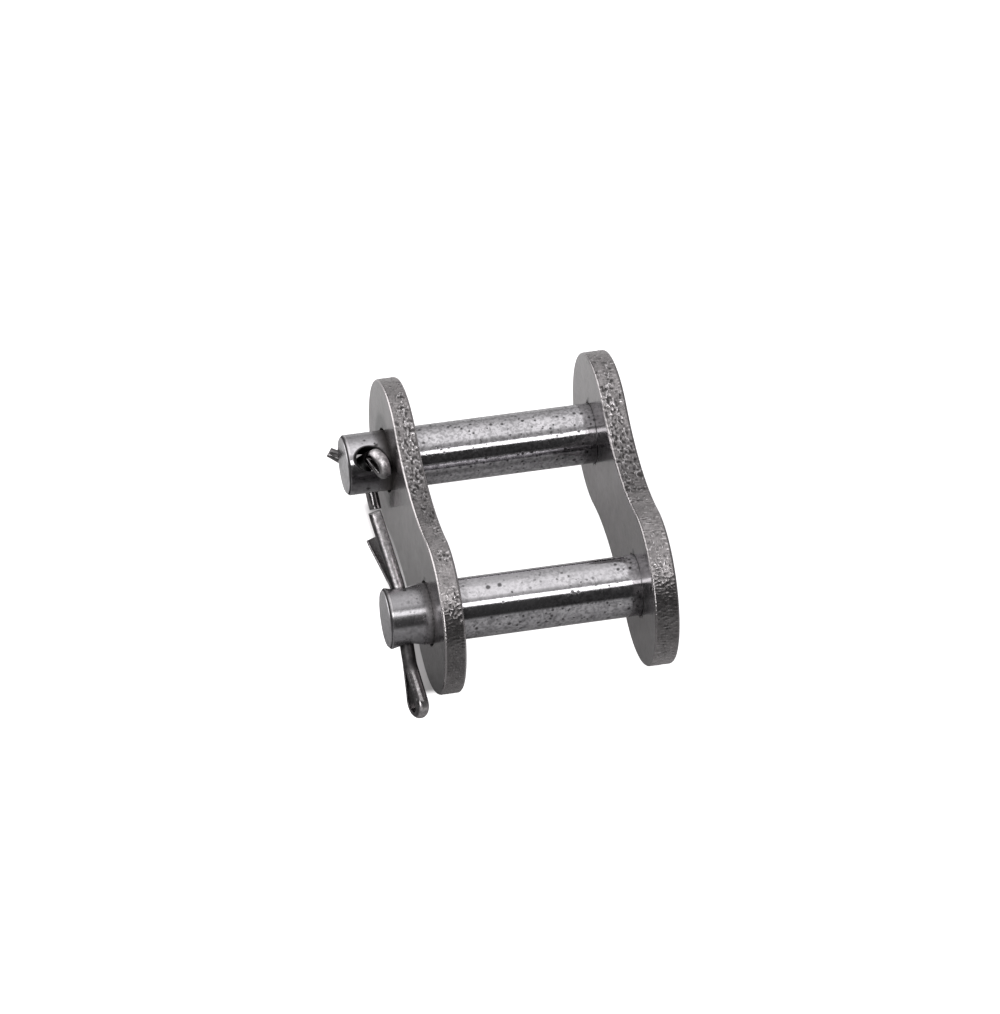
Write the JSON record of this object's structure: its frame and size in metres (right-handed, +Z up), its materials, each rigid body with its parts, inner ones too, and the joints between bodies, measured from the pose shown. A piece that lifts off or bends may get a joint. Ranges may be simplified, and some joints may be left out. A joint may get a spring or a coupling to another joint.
{
  "type": "roller chain connecting link",
  "caption": "Connecting link that joins the ends of a roller chain: plate with riveted pins, slip-on cover plate, and split cotters through the drilled pin ends.",
  "frame": {"origin": "On the near pin's axis, halfway between the facing sides of the plates.", "axes": "+X runs along the pins, from the cottered ends to the riveted ends. +Y runs from the near pin to the far pin. +Z is up with the link standing on the rims of its plates."},
  "size_m": [0.0281, 0.0345, 0.0156],
  "materials": {
    "plate_steel": "stamped and tumbled steel, satin faces with pitted rims",
    "pin_steel": "ground steel with a fine speckle",
    "cotter_steel": "drawn half-round steel wire"
  },
  "bodies": {
    "pinned_half": {"fixed_plate": "plate_steel", "near_pin": "pin_steel", "far_pin": "pin_steel", "far_cotter": "cotter_steel"},
    "cover": {"cover_plate": "plate_steel"},
    "lower_cotter": {"near_cotter": "cotter_steel"}
  },
  "joints": [
    {"name": "cover_slide", "type": "slide", "parent": "pinned_half", "child": "cover", "axis": [1, 0, 0], "range_m": [0, 0.0176]},
    {"name": "cotter_play", "type": "slide", "parent": "pinned_half", "child": "lower_cotter", "axis": [0, 0.766, 0.6428], "range_m": [0, 0.0034]}
  ]
}
